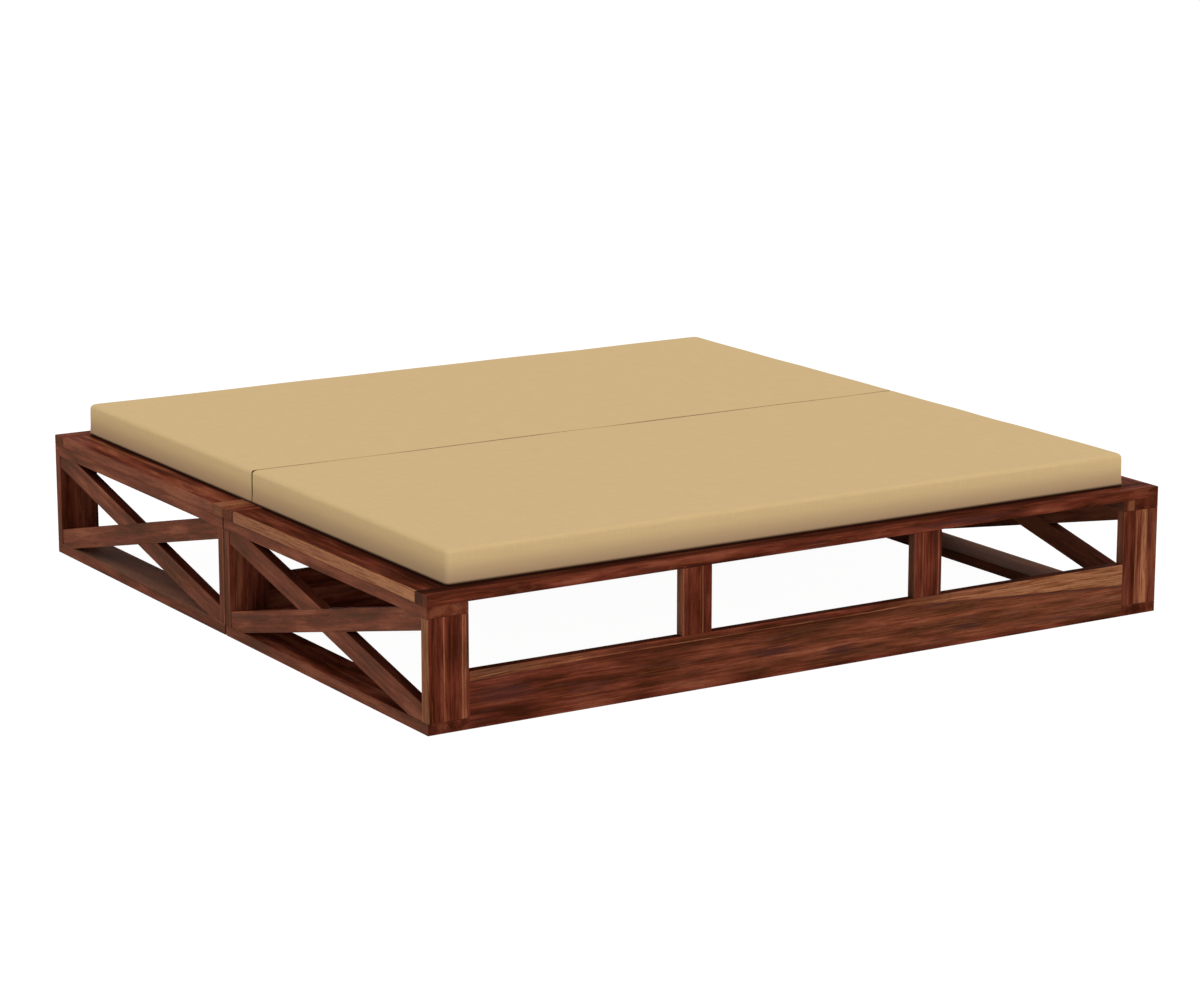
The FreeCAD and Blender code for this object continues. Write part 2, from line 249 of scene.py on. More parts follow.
def board_frame(node, look):
    """Centre, turn and half sizes of a board, in axes whose x runs along the grain.

    A straight board's grain runs along its longest side, and a brace's along its slope.
    """
    low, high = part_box(node)
    centre = (low + high) / 2
    half = (high - low) / 2
    if node.endswith("brace"):
        slope = look.brace_slope if "rising" in node else -look.brace_slope
        length = half.y / math.cos(look.brace_slope)
        centre.z += look.brace_rise
        return centre, Euler((0, -slope, math.pi / 2)), Vector((length, half.x, look.brace_width / 2))
    along = max(range(3), key=lambda axis: half[axis])
    turns = (Euler((0, 0, 0)), Euler((0, 0, math.pi / 2)), Euler((0, -math.pi / 2, 0)))
    sides = ((0, 1, 2), (1, 0, 2), (2, 1, 0))
    return centre, turns[along], Vector([half[axis] for axis in sides[along]])


# Bands of another colour along a board: the cross axis, the band's middle and half width in mm, and its
# strength at the board's two ends. Above 0 the colour is sapwood's, or the one that a sixth value names,
# and below 0 it is the pores'. A band bends with the grain, unless its axis has a capital letter: those
# bands are straight, and each colours one face.
# Some bands in the pores' colour are painted shade and painted contact shadow, and a sixth value can name
# painted sheen.
WOOD_BANDS = {
    "front_bed_left_front_post": [
        ("z", -39, 4, 0.2, 0.2),
        ("z", -43, 0.9, 0.5, 0.6),
        ("z", -35, 0.9, 0.5, 0.4),
        ("z", 10, 0.9, 0.4, 0.5),
        ("z", 50, 3, 0.35, 0.45),
        ("z", 24, 5, -0.3, -0.25),
    ],
    "front_bed_right_front_post": [
        ("z", -12, 9, 0.7, 0.65),
        ("z", 9.5, 0.9, 0.5, 0.6),
        ("z", 13, 0.9, 0.5, 0.5),
        ("z", -36, 9, -0.3, -0.3),
        ("z", 34, 10, -0.2, -0.25),
    ],
    "front_bed_right_top_plank": [("y", 29.7, 10, 0.5, 0.4)],
    "front_bed_left_mid_post": [
        ("z", 37, 1.2, 0.3, 0.4),
        ("z", -14, 1, 0.35, 0.3),
        ("z", 25, 7, -0.2, -0.2),
    ],
    "front_bed_right_mid_post": [
        ("z", 14, 1, 0.3, 0.4),
        ("z", -29, 1, 0.4, 0.3),
        ("z", 30, 6, -0.2, -0.2),
    ],
    "front_bed_deck_left_rail": [
        ("y", 50, 12, 1.0, 0.55),
        ("y", 31, 6, -0.2, -0.2),
        # Painted shade darkens the top beside the mattress, and a painted contact shadow runs along it.
        ("y", -28, 24, -0.75, -0.2),
        ("y", -34, 11, -0.95, -0.95),
    ],
    "rear_bed_deck_left_rail": [
        ("y", -12, 5, 0.0, 0.4),
        # Painted shade darkens the top beside the mattress, and a painted contact shadow runs along it.
        ("y", -28, 12, -0.3, -0.05),
        ("y", -34, 11, -0.95, -0.95),
    ],
    "rear_bed_left_front_post": [("y", -12.7, 3, 0.3, 0.3)],
    # The bottom planks' upper faces get painted sheen, a pale reflection.
    "rear_bed_left_bottom_plank": [("Z", 13.7, 1.2, 0.5, 0.5, "bleached")],
    "front_bed_right_bottom_plank": [("Z", 13.7, 1.2, 0.5, 0.5, "bleached")],
    "front_bed_left_back_post": [("z", 30, 6, 0.25, 0.25)],
    "rear_bed_deck_front_rail": [("y", 0, 40, 0.5, 0)],
    # Painted shade darkens the top beside the mattress, and a painted contact shadow runs along it.
    "front_bed_deck_front_rail": [("y", 8, 20, -0.75, -0.15), ("y", 24, 13, -0.95, -0.85)],
    "front_bed_bottom_rail": [
        ("z", 49.5, 0.9, 0.4, 0.3),
        ("z", 41, 1.5, -0.4, 0),
        ("z", -5, 55, 0, 0.22),
        # Painted shade on the rail's top face.
        ("y", 4, 15, -0.7, -0.7),
    ],
}
# The rising braces' upper narrow faces get painted shade, in the pores' colour.
WOOD_BANDS.update(
    (f"{module}_{end}_rising_brace", [("Z", 26.4, 1.2, -0.65, -0.65)])
    for module in MODULES
    for end in ("left", "right")
)
# The bottom rail's strip of sapwood: shares of the rail's length, with the height of the strip's lower
# edge as a share of the rail's, and its strength.
RAIL_STRIP_SHARES = {
    "front_bed_bottom_rail": [
        (0.0, 0.83, 0.25),
        (0.15, 0.87, 0.2),
        (0.2, 0.9, 0.05),
        (0.56, 0.882, 0.0),
        (0.68, 0.86, 0.2),
        (0.74, 0.82, 0.45),
        (0.82, 0.75, 0.65),
        (0.9, 0.69, 0.7),
        (1.0, 0.6, 0.62),
    ]
}
# Dark patches: their middle along and up the board from its own middle, their half length and half
# height, all in mm, and their strength.
WOOD_PATCHES = {
    "front_bed_bottom_rail": [
        (-110, -4, 70, 13, 0.8),
        (70, -28, 60, 13, 0.8),
        (-805, 6, 90, 28, 0.6),
        (420, -22, 60, 9, 0.8),
        (700, -40, 120, 10, 0.45),
    ],
    "front_bed_deck_front_rail": [(420, 0, 160, 9, 0.75)],
}
# Boards that are lighter or darker than the rest, as a shift of the grain's share.
TONE_SHARES = {
    "front_bed_right_front_post": 0.01,
    # The deck rails beside the front mattress are darker, partly by their own tone and partly as painted
    # shade.
    "front_bed_deck_front_rail": -0.038,
    "front_bed_deck_left_rail": -0.02,
    "front_bed_left_mid_post": -0.03,
    "front_bed_right_mid_post": -0.01,
    "rear_bed_deck_left_rail": 0.012,
    "front_bed_left_bottom_plank": 0.02,
    "front_bed_left_top_plank": 0.015,
    "rear_bed_left_bottom_plank": 0.02,
    "rear_bed_left_top_plank": 0.01,
    "rear_bed_left_back_post": 0.04,
    "front_bed_right_rising_brace": 0.05,
    "front_bed_right_falling_brace": 0.05,
}


# How much clouds, streaks and growth rings each add to the share that gives the grain's colour.
GRAIN_SHARES = (0.64, 0.17, 0.19)
# Ring lines: the level of the ring noise that they follow, how far they spread from it, and their strength.
DARK_LINE_SHARES = (0.47, 0.025, 0.28)
LIGHT_LINE_SHARES = (0.56, 0.015, 0.2)
# Levels of noise where a colour starts and where it is full, then its strength there.
BLOTCH_SHARES = (0.55, 0.68, 0.5)
FLAME_SHARES = (0.6, 0.74, 0.4)
PORE_SHARES = (0.56, 0.68)
# Strengths of the pores' colour, of the painted highlight along the edges and of the dark sawn ends.
PORE_STRENGTH = 0.28
EDGE_HIGHLIGHT_STRENGTH = 0.3
SAWN_END_STRENGTH = 0.35
# How far slow noise carries the grain sideways, in ring widths, and how much of that a band follows.
GRAIN_SWING = 1.6
BAND_BEND_SHARE = 0.35
# Soft edges: of a band, in mm and as a share of its half width, and of a patch, in half sizes.
BAND_FADE = 0.8
BAND_CORE_SHARE = 0.75
PATCH_EDGES = (2.3, 1.4)
PATCH_RAGGEDNESS = 2.2
# The strip's edge and the dark line under it, as shares of the rail's height.
STRIP_EDGE_SHARES = (-0.006, 0.01)
STRIP_LINE_SHARES = (-0.02, 0.05)
# How deep the colour of one face or end of a board reaches in, and up to where it is full.
STRIP_DEPTHS = (1.5 * MM, 0.5 * MM)
LEFT_FACE_DEPTHS = (1.5 * MM, 0.3 * MM)
SAWN_END_DEPTHS = (1.2 * MM, 0.4 * MM)


def figure(tree, grain, length, width, detail, roughness=0.55):
    """Noise whose spots are that long along the grain and that wide across it."""
    scale = (1 / length, 1 / width, 1 / width)
    scaled = add(tree, "ShaderNodeVectorMath", {0: grain, 1: scale}, operation="MULTIPLY").outputs[0]
    noise = {"Vector": scaled, "Scale": 1.0, "Detail": detail, "Roughness": roughness}
    return add(tree, "ShaderNodeTexNoise", noise).outputs["Fac"]


def bent_grain(tree, board, cut, look):
    """Places in the log, in metres from its pith, moved across the grain by slow noise."""
    log = add(tree, "ShaderNodeVectorMath", {0: board, 1: cut}, operation="ADD").outputs[0]
    scale = (1 / (2.5 * look.streak_length), 1 / (2 * look.blotch_width), 1 / (2 * look.blotch_width))
    slow = add(tree, "ShaderNodeVectorMath", {0: log, 1: scale}, operation="MULTIPLY").outputs[0]
    slow = {"Vector": slow, "Scale": 1.0, "Detail": 4.0, "Roughness": 0.55}
    slow = add(tree, "ShaderNodeTexNoise", slow).outputs["Color"]
    swing = GRAIN_SWING * look.ring_width
    moved = {0: slow, 1: (0, swing, swing), 2: log}
    return add(tree, "ShaderNodeVectorMath", moved, operation="MULTIPLY_ADD").outputs[0]


def heartwood(tree, grain, streaks, tone, look):
    """Colour of the heartwood: clouds, streaks and rings, then ring lines, patches and flames."""
    across = add(tree, "ShaderNodeVectorMath", {0: grain, 1: (0, 1, 1)}, operation="MULTIPLY").outputs[0]
    radius = add(tree, "ShaderNodeVectorMath", {0: across}, operation="LENGTH").outputs["Value"]
    rings = {"W": radius, "Scale": 1 / look.ring_width, "Detail": 3.0, "Roughness": 0.6}
    rings = add(tree, "ShaderNodeTexNoise", rings, noise_dimensions="1D").outputs["Fac"]
    clouds = figure(tree, grain, look.blotch_length, look.blotch_width, 3.0)
    share = tone
    for pattern, weight in zip((clouds, streaks, rings), GRAIN_SHARES):
        inputs = {0: pattern, 1: weight, 2: share}
        share = add(tree, "ShaderNodeMath", inputs, operation="MULTIPLY_ADD").outputs[0]
    stops = [(0.39, look.shadow), (0.63, look.light), (0.475, look.heart), (0.54, look.warm)]
    colour = add(tree, "ShaderNodeValToRGB", {"Fac": share}, stops=stops).outputs["Color"]

    lines = {"W": radius, "Scale": 1 / (1.5 * look.ring_width), "Detail": 1.0}
    lines = add(tree, "ShaderNodeTexNoise", lines, noise_dimensions="1D").outputs["Fac"]
    for over, shares in ((look.shadow, DARK_LINE_SHARES), (look.light, LIGHT_LINE_SHARES)):
        level, reach, strength = shares
        colour = paint(tree, colour, over, distance(tree, lines, level), reach, 0.0, strength)
    blotches = figure(tree, grain, 0.7 * look.blotch_length, 0.6 * look.blotch_width, 3.0)
    colour = paint(tree, colour, look.blotch, blotches, *BLOTCH_SHARES)
    flames = figure(tree, grain, look.blotch_length, 1.4 * look.streak_width, 2.0)
    return paint(tree, colour, look.flame, flames, *FLAME_SHARES)


def banded(tree, colour, bands, along, places, sapwood, look):
    """The colour with a board's own bands over it.

    The places are the straight ones on the board, and those that bend with its grain.
    """
    straight, bent = places
    for axis, middle, reach, first, last, *kind in bands:
        strength = {"Value": along, "To Min": abs(first), "To Max": abs(last)}
        strength = add(tree, "ShaderNodeMapRange", strength).outputs["Result"]
        over = look.pore if first + last < 0 else sapwood
        if kind:
            over = getattr(look, kind[0])
        place = (straight if axis.isupper() else bent)["xyz".index(axis.lower())]
        away = distance(tree, place, middle * MM)
        start, full = (reach + BAND_FADE) * MM, BAND_CORE_SHARE * reach * MM
        colour = paint(tree, colour, over, away, start, full, strength)
    return colour


def patched(tree, colour, patches, bent, streaks, look):
    """The colour with a board's own dark patches over it: ellipses that the streaks make ragged."""
    for middle, height, length, width, strength in patches:
        away = add(tree, "ShaderNodeCombineXYZ", {0: bent[0], 2: bent[2]}).outputs[0]
        shift = {0: away, 1: Vector((middle, 0, height)) * MM}
        away = add(tree, "ShaderNodeVectorMath", shift, operation="SUBTRACT").outputs[0]
        scale = {0: away, 1: (1 / MM / length, 0, 1 / MM / width)}
        away = add(tree, "ShaderNodeVectorMath", scale, operation="MULTIPLY").outputs[0]
        away = add(tree, "ShaderNodeVectorMath", {0: away}, operation="LENGTH").outputs["Value"]
        ragged = {0: streaks, 1: PATCH_RAGGEDNESS, 2: away}
        away = add(tree, "ShaderNodeMath", ragged, operation="MULTIPLY_ADD").outputs[0]
        colour = paint(tree, colour, look.blotch, away, *PATCH_EDGES, strength)
    return colour


def edged(tree, colour, strip, along, straight, half, sapwood, look):
    """The colour with a strip of sapwood along the upper edge of a board's front face."""
    ramps = []
    for column in (1, 2):
        stops = [(row[0], (row[column],) * 3) for row in strip]
        stops = [stops[0], stops[-1], *stops[1:-1]]
        ramps.append(add(tree, "ShaderNodeValToRGB", {"Fac": along}, stops=stops).outputs["Color"])
    edge, strength = ramps
    height = {"Value": straight[2], "From Min": -half.z, "From Max": half.z}
    height = add(tree, "ShaderNodeMapRange", height).outputs["Result"]
    over = add(tree, "ShaderNodeMath", {0: height, 1: edge}, operation="SUBTRACT").outputs[0]
    start, full = (depth - half.y for depth in STRIP_DEPTHS)
    face = {"Value": straight[1], "From Min": start, "From Max": full, "To Max": strength}
    face = add(tree, "ShaderNodeMapRange", face).outputs["Result"]
    line, reach = STRIP_LINE_SHARES
    colour = paint(tree, colour, look.blotch, distance(tree, over, line), reach, 0.0, face)
    return paint(tree, colour, sapwood, over, *STRIP_EDGE_SHARES, face)


def marked(tree, colour, node, board, grain, cut, half, streaks, look):
    """The colour with the bands, patches and strip that this board has, if any."""
    bands = WOOD_BANDS.get(node, [])
    patches = WOOD_PATCHES.get(node, [])
    strip = RAIL_STRIP_SHARES.get(node)
    if not (bands or patches or strip):
        return colour
    stops = [(0.36, look.sap_dark), (0.6, look.sap)]
    sapwood = add(tree, "ShaderNodeValToRGB", {"Fac": streaks}, stops=stops).outputs["Color"]
    straight = add(tree, "ShaderNodeSeparateXYZ", {0: board}).outputs
    along = {"Value": straight[0], "From Min": -half.x, "From Max": half.x}
    along = add(tree, "ShaderNodeMapRange", along).outputs["Result"]
    # The noise is around a half, so half its swing and the cut bring the bent places back to the board.
    swing = GRAIN_SWING * look.ring_width
    home = {0: grain, 1: Vector((0, swing / 2, swing / 2)) + cut}
    home = add(tree, "ShaderNodeVectorMath", home, operation="SUBTRACT").outputs[0]
    bent = {"Factor": BAND_BEND_SHARE, 4: board, 5: home}
    bent = add(tree, "ShaderNodeMix", bent, data_type="VECTOR").outputs[1]
    bent = add(tree, "ShaderNodeSeparateXYZ", {0: bent}).outputs
    colour = banded(tree, colour, bands, along, (straight, bent), sapwood, look)
    colour = patched(tree, colour, patches, bent, streaks, look)
    if strip:
        colour = edged(tree, colour, strip, along, straight, half, sapwood, look)
    return colour


def sheesham(node, cut, tone, look):
    """Sheesham, an Indian rosewood, planed, stained red-brown and sprayed with satin lacquer.

    The eye gets red-brown streaks along the grain, purple-brown patches, a few orange flames, tan
    sapwood at some edges, short dark pores, and a soft sheen that shows at a low angle.
    """
    centre, turn, half = board_frame(node, look)
    material, tree, shader = new_material(f"lacquered_sheesham_{node}")
    spot = add(tree, "ShaderNodeTexCoord").outputs["Object"]
    board = {"Vector": spot, "Location": centre, "Rotation": turn}
    board = add(tree, "ShaderNodeMapping", board, vector_type="TEXTURE").outputs["Vector"]
    grain = bent_grain(tree, board, cut, look)
    streaks = figure(tree, grain, look.streak_length, look.streak_width, 4.0, 0.6)
    colour = heartwood(tree, grain, streaks, tone, look)
    colour = marked(tree, colour, node, board, grain, cut, half, streaks, look)

    # Painted sheen, a pale haze of reflected light, covers the left face: where a point's own x is the
    # board's lowest.
    own_x = add(tree, "ShaderNodeSeparateXYZ", {0: spot}).outputs[0]
    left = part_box(node)[0].x
    start, full = (left + depth for depth in LEFT_FACE_DEPTHS)
    colour = paint(tree, colour, look.bleached, own_x, start, full, look.painted_sheen_share)
    pores = figure(tree, grain, look.pore_length, look.pore_width, 1.0)
    pores = {"Value": pores, "From Min": PORE_SHARES[0], "From Max": PORE_SHARES[1]}
    pores = add(tree, "ShaderNodeMapRange", pores, interpolation_type="SMOOTHSTEP").outputs["Result"]
    colour = paint(tree, colour, look.pore, pores, 0.0, 1.0, PORE_STRENGTH)

    # The painted highlight lies along the edges, where a point is close to two faces of the board at once.
    reach = add(tree, "ShaderNodeVectorMath", {0: board}, operation="ABSOLUTE").outputs[0]
    inner = [half[axis] - look.edge_highlight for axis in range(3)]
    reach = add(tree, "ShaderNodeVectorMath", {0: reach, 1: inner}, operation="SUBTRACT").outputs[0]
    reach = add(tree, "ShaderNodeVectorMath", {0: reach, 1: (0, 0, 0)}, operation="MAXIMUM").outputs[0]
    near = add(tree, "ShaderNodeVectorMath", {0: reach}, operation="LENGTH").outputs["Value"]
    edge = look.edge_highlight
    colour = paint(tree, colour, look.light, near, edge, 1.35 * edge, EDGE_HIGHLIGHT_STRENGTH)
    # The sawn ends take more stain.
    along = add(tree, "ShaderNodeSeparateXYZ", {0: board}).outputs[0]
    start, full = (half.x - depth for depth in SAWN_END_DEPTHS)
    away = distance(tree, along, 0.0)
    colour = paint(tree, colour, look.shadow, away, start, full, SAWN_END_STRENGTH)

    relief = {0: pores, 1: -1.0, 2: streaks}
    relief = add(tree, "ShaderNodeMath", relief, operation="MULTIPLY_ADD").outputs[0]
    roughness = (look.roughness + 0.06, look.roughness - 0.06)
    surface(tree, shader, colour, streaks, roughness, relief, bump=(0.35, 0.25 * MM))
    shader.inputs["Specular IOR Level"].default_value = look.specular
    return material


def pine():
    """Planed pine, left bare: pale yellow-brown with darker growth lines and a dry, matt face."""
    material, tree, shader = new_material("planed_pine")
    spot = add(tree, "ShaderNodeTexCoord").outputs["Object"]
    ring_width = 7 * MM
    fibre_length = 180 * MM
    scale = (1 / ring_width, 1 / fibre_length, 1 / ring_width)
    spot = add(tree, "ShaderNodeVectorMath", {0: spot, 1: scale}, operation="MULTIPLY").outputs[0]
    noise = {"Vector": spot, "Scale": 1.0, "Detail": 4.0, "Roughness": 0.6}
    noise = add(tree, "ShaderNodeTexNoise", noise).outputs["Fac"]
    stops = [(0.35, hex_colour("#A97C4B")), (0.65, hex_colour("#D8B584"))]
    colour = add(tree, "ShaderNodeValToRGB", {"Fac": noise}, stops=stops).outputs["Color"]
    surface(tree, shader, colour, noise, (0.78, 0.62), noise, bump=(0.3, 0.3 * MM))
    return material


def beech():
    """Turned beech: pale pink-brown with short dark flecks, smooth and matt."""
    material, tree, shader = new_material("turned_beech")
    spot = add(tree, "ShaderNodeTexCoord").outputs["Object"]
    fleck = 1.2 * MM
    noise = {"Vector": spot, "Scale": 1 / fleck, "Detail": 2.0}
    noise = add(tree, "ShaderNodeTexNoise", noise).outputs["Fac"]
    stops = [(0.4, hex_colour("#A8794F")), (0.6, hex_colour("#CFA67A"))]
    colour = add(tree, "ShaderNodeValToRGB", {"Fac": noise}, stops=stops).outputs["Color"]
    surface(tree, shader, colour, noise, (0.66, 0.54), noise, bump=(0.3, 0.1 * MM))
    return material


def zinc_plated_steel():
    """Zinc-plated steel, drawn and tumbled: grey metal with a faint cloudy, scratched sheen."""
    material, tree, shader = new_material("zinc_plated_steel")
    spot = add(tree, "ShaderNodeTexCoord").outputs["Object"]
    cloud = 2.5 * MM
    noise = {"Vector": spot, "Scale": 1 / cloud, "Detail": 3.0}
    noise = add(tree, "ShaderNodeTexNoise", noise).outputs["Fac"]
    stops = [(0.3, hex_colour("#A9A79C")), (0.7, hex_colour("#C9C6B8"))]
    colour = add(tree, "ShaderNodeValToRGB", {"Fac": noise}, stops=stops).outputs["Color"]
    surface(tree, shader, colour, noise, (0.28, 0.42), noise, bump=(0.2, 0.05 * MM))
    shader.inputs["Metallic"].default_value = 1.0
    return material


def woven_cotton(look):
    """Heavy plain-woven cotton: tan, matt, with crossing threads and a few thicker, darker ones."""
    material, tree, shader = new_material("woven_cotton")
    cloth = add(tree, "ShaderNodeUVMap", uv_map="cloth").outputs["UV"]
    # At a scale of 1 the wave's bands are tau / 20 apart.
    wave = {"Vector": cloth, "Scale": math.tau / 20 / look.thread, "Distortion": 0.0}
    warp, weft = (add(tree, "ShaderNodeTexWave", wave, bands_direction=way).outputs["Fac"] for way in "XY")
    weave = add(tree, "ShaderNodeMath", {0: warp, 1: weft}, operation="MULTIPLY").outputs[0]
    # A slub is 30 times as long as it is thick, and lies along either thread.
    drawn_out = 1 / 30
    slubs = []
    for stretch in ((drawn_out, 1, 1), (1, drawn_out, 1)):
        line = add(tree, "ShaderNodeVectorMath", {0: cloth, 1: stretch}, operation="MULTIPLY").outputs[0]
        noise = {"Vector": line, "Scale": 1 / (2 * look.thread), "Detail": 1.0}
        slubs.append(add(tree, "ShaderNodeTexNoise", noise).outputs["Fac"])
    slub = add(tree, "ShaderNodeMath", {0: slubs[0], 1: slubs[1]}, operation="ADD").outputs[0]
    slub = {"Value": slub, "From Min": 0.9, "From Max": 1.35, "To Min": 0.0, "To Max": 0.4}
    slub = add(tree, "ShaderNodeMapRange", slub).outputs["Result"]
    inputs = {"Factor": slub, 6: look.cloth, 7: look.slub}
    colour = add(tree, "ShaderNodeMix", inputs, data_type="RGBA").outputs[2]
    height = add(tree, "ShaderNodeAttribute", attribute_name="height").outputs["Fac"]
    # Painted shade darkens the cloth towards its base, and a painted contact shadow runs along its foot and
    # the gap's lips.
    base_shade_span = (look.base_shade_height, look.base_shade_full, look.base_shade_share)
    colour = paint(tree, colour, look.base_shade_colour, height, *base_shade_span)
    colour = paint(tree, colour, look.contact_shadow, height, 2 * look.contact_shadow_height, 0.5 * look.contact_shadow_height)
    relief = add(tree, "ShaderNodeMath", {0: slub, 1: weave}, operation="ADD").outputs[0]
    surface(tree, shader, colour, weave, (0.98, 0.9), relief, bump=(0.4, 0.2 * MM), spread=(0, 1))
    shader.inputs["Specular IOR Level"].default_value = 0.05
    shader.inputs["Sheen Weight"].default_value = 0.02
    shader.inputs["Sheen Roughness"].default_value = 0.5
    return material


def dress(node, material):
    """Puts one material on a CAD node."""
    shape = frame["nodes"][node]
    shape.data.materials.clear()
    shape.data.materials.append(material)
    for face in shape.data.polygons:
        face.material_index = 0


# Where a board was cut: its distance from the pith in mm, its place along the log in metres, and a
# shift of its tone.
CUT_SEED = 21
PITH_RANGE = (60, 130)
LOG_RANGE = (2, 60)
TONE_RANGE_SHARES = (-0.03, 0.03)


class DIVAN_OT_boards(Operator):
    """Gives each sheesham board its own cut of the log, with the grain along its length"""

    bl_idname = "divan.boards"
    bl_label = "Sheesham boards"

    def execute(self, context):
        look = context.scene.divan_sheesham
        slots = {row["node"]: row["material_slot"] for row in frame["record"]["subparts"]}
        draw = np.random.default_rng(CUT_SEED)
        for node in sorted(n for n in frame["nodes"] if slots[n] == "sheesham"):
            angle = draw.uniform(0, math.tau)
            pith = draw.uniform(*PITH_RANGE) * MM
            cut = Vector((draw.uniform(*LOG_RANGE), pith * math.cos(angle), pith * math.sin(angle)))
            tone = draw.uniform(*TONE_RANGE_SHARES) + TONE_SHARES.get(node, 0.0)
            dress(node, sheesham(node, cut, tone, look))
        return {"FINISHED"}


class DIVAN_OT_slats(Operator):
    """Finishes the slats under the mattresses"""

    bl_idname = "divan.slats"
    bl_label = "Pine slats"

    def execute(self, context):
        material = pine()
        for module in MODULES:
            dress(f"{module}_deck_slats", material)
        return {"FINISHED"}


class DIVAN_OT_fixings(Operator):
    """Finishes the dowels and screws that hold the boards"""

    bl_idname = "divan.fixings"
    bl_label = "Dowels and screws"

    def execute(self, context):
        wood = beech()
        steel = zinc_plated_steel()
        for module in MODULES:
            for kind in ("joint_dowels", "slat_dowels"):
                dress(f"{module}_{kind}", wood)
            for kind in ("corner_screws", "deck_screws"):
                dress(f"{module}_{kind}", steel)
        return {"FINISHED"}


# How far each mattress stands out past its foam's box, at the front or the back of the bed.
OUTER_GROWTH = {"front_bed": 1 * MM, "rear_bed": 6 * MM}
# Each foam's box stops this far from the bed's middle, and the cloth lies this far over the deck.
MIDDLE_GAP = 3 * MM
REST_GAP = 0.05 * MM
# Mesh cells over one rounding's 45 degrees.
ROUNDING_CELLS = 4
# The lips of the gap where the mattresses meet, which get painted shadow: how far they reach from the
# meeting side, along the top and at the ends, and the height over the deck whose painted shadow the top
# one shows, in heights of its line.
LIP_START = 0.05 * MM
TOP_LIP = 1.6 * MM
END_LIP = 1.1 * MM
TOP_LIP_LEVEL = 1.45
# Slow dents in the top: the height of one wave, how many there are, and their lengths in metres.
DENT_HEIGHT = 0.2 * MM
DENT_WAVES = 7
DENT_LENGTHS = (0.22, 0.6)
DENT_SEEDS = {"front_bed": 5, "rear_bed": 6}
# The simulated cloth hardly stretches and bends a little.
CLOTH_SETTINGS = {
    "quality": 5,
    "mass": 0.3,
    "tension_stiffness": 30,
    "compression_stiffness": 30,
    "shear_stiffness": 10,
    "bending_stiffness": 2,
    "use_pressure": True,
}


def smooth(share):
    """A share from 0 to 1 that starts and ends slowly: 3 s^2 - 2 s^3."""
    return share * share * (3 - 2 * share)


def slab_lines(half, radius, spacing):
    """Places of the mesh lines along one axis: even in the middle, and by even angles in the rounding."""
    reach = half - radius
    cells = max(2, round(2 * reach / spacing))
    middle = np.linspace(-reach, reach, cells + 1)
    bend = radius * np.tan(np.linspace(0, math.pi / 4, ROUNDING_CELLS + 1)[1:])
    return np.concatenate([-reach - bend[::-1], middle, reach + bend])


def sharp_slab(half, radius, spacing):
    """Points and faces of a closed sharp box: each of its six sides is a grid over two axes."""
    lines = [slab_lines(size, radius, spacing) for size in half]
    points = []
    faces = []
    start = 0
    for axis in range(3):
        first, second = lines[(axis + 1) % 3], lines[(axis + 2) % 3]
        for side in (-1, 1):
            grid = np.zeros((len(first), len(second), 3))
            grid[..., axis] = side * half[axis]
            grid[..., (axis + 1) % 3] = first[:, None]
            grid[..., (axis + 2) % 3] = second[None, :]
            index = start + np.arange(grid[..., 0].size).reshape(grid.shape[:2])
            corners = [index[:-1, :-1], index[1:, :-1], index[1:, 1:], index[:-1, 1:]]
            points.append(grid.reshape(-1, 3))
            faces.append(np.stack(corners[::side], -1).reshape(-1, 4))
            start += grid[..., 0].size
    points = np.concatenate(points)
    # Sides that meet share the points of their edge.
    _, kept, same = np.unique(np.round(points, 7), axis=0, return_index=True, return_inverse=True)
    return points[kept], same.reshape(-1)[np.concatenate(faces)]


def slab_mesh(half, look):
    """Points and faces of a closed slab with rounded edges, as numpy arrays.

    A point of the sharp box, seen from the nearest point of an inner box, has a turn in plan and a rise.
    The rise gives a level: its outline is a rectangle with round corners, drawn in by (1 - cos rise) of
    the edge's rounding, and its height is drawn in by (1 - sin rise) of it. The turn gives the place on
    the outline. From the outer edge (share 0) to the edge where the mattresses meet (share 1) the
    roundings change evenly.
    """
    radius = look.edge_radius
    points, faces = sharp_slab(half, radius, look.spacing)
    inner = np.clip(points, radius - half, half - radius)
    away = points - inner
    away /= np.linalg.norm(away, axis=1, keepdims=True)
    away[np.abs(away) < 1e-6] = 0
    level = np.linalg.norm(away[:, :2], axis=1, keepdims=True)
    turn = away[:, :2] / np.maximum(level, 1e-6)
    share = (inner[:, 1:2] / (half[1] - radius) + 1) / 2
    low = away[:, 2:] < 0

    top = np.hstack([np.full_like(share, radius), radius + (look.seam_radius - radius) * share])
    drawn_in = np.where(low, (look.base_ends, look.base_sides), top) * (1 - level)
    corner = look.corner_radius + (look.seam_corner - look.corner_radius) * share
    scale = (half[:2] - drawn_in - corner) / (half[:2] - radius)
    points[:, :2] = inner[:, :2] * scale + corner * turn
    crown = radius + (look.seam_radius - radius) * np.clip(turn[:, 1:], 0, 1) ** 2
    crown = np.where(low, look.base_height, crown) * (1 - np.abs(away[:, 2:]))
    points[:, 2:] = np.where(away[:, 2:] == 0, inner[:, 2:], np.sign(away[:, 2:]) * (half[2] - crown))
    return points, faces


def new_mesh_object(name, points, faces):
    """A mesh from numpy arrays, in the scene."""
    mesh = bpy.data.meshes.new(name)
    mesh.from_pydata(points.tolist(), [], faces.tolist())
    mesh.update()
    made = bpy.data.objects.new(name, mesh)
    bpy.context.scene.collection.objects.link(made)
    return made


def read_points(mesh):
    """The places of a mesh's vertices, as a numpy array."""
    points = np.zeros(3 * len(mesh.vertices), np.float32)
    mesh.vertices.foreach_get("co", points)
    return points.reshape(-1, 3).astype(float)


